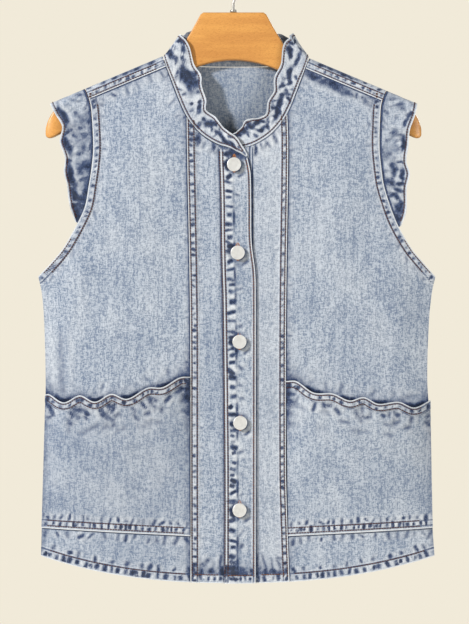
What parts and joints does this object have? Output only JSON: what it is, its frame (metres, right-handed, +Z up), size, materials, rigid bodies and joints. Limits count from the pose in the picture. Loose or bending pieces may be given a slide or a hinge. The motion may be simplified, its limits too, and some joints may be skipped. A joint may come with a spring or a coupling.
{
  "type": "denim vest on a wooden hanger",
  "caption": "Sleeveless button-front denim vest with a frilled stand collar, ruffled cap sleeves and scalloped patch pockets, hanging on a wooden hanger.",
  "frame": {"origin": "inside top of the hanger's hook, where a rail carries it", "axes": "+Z up, +Y towards the back of the vest, +X to the right as seen from the front"},
  "size_m": [0.476, 0.0427, 0.7488],
  "materials": {
    "denim": "light stone-washed denim, matt, with darker puckered seams",
    "button_metal": "matt silver metal",
    "hanger_wood": "lacquered beech",
    "hook_steel": "bright steel wire"
  },
  "bodies": {
    "root": {"side_panel_left": "denim", "side_panel_right": "denim", "centre_panel_left": "denim", "centre_panel_right": "denim", "lower_band_left": "denim", "lower_band_right": "denim", "pocket_left": "denim", "pocket_right": "denim", "cap_sleeve_left": "denim", "cap_sleeve_right": "denim", "back_panel": "denim", "collar": "denim", "under_placket": "denim", "over_placket": "denim", "button_1": "button_metal", "button_2": "button_metal", "button_3": "button_metal", "button_4": "button_metal", "button_5": "button_metal", "hanger_body": "hanger_wood", "hanger_hook": "hook_steel", "hanger_ferrule": "hook_steel"}
  },
  "joints": []
}
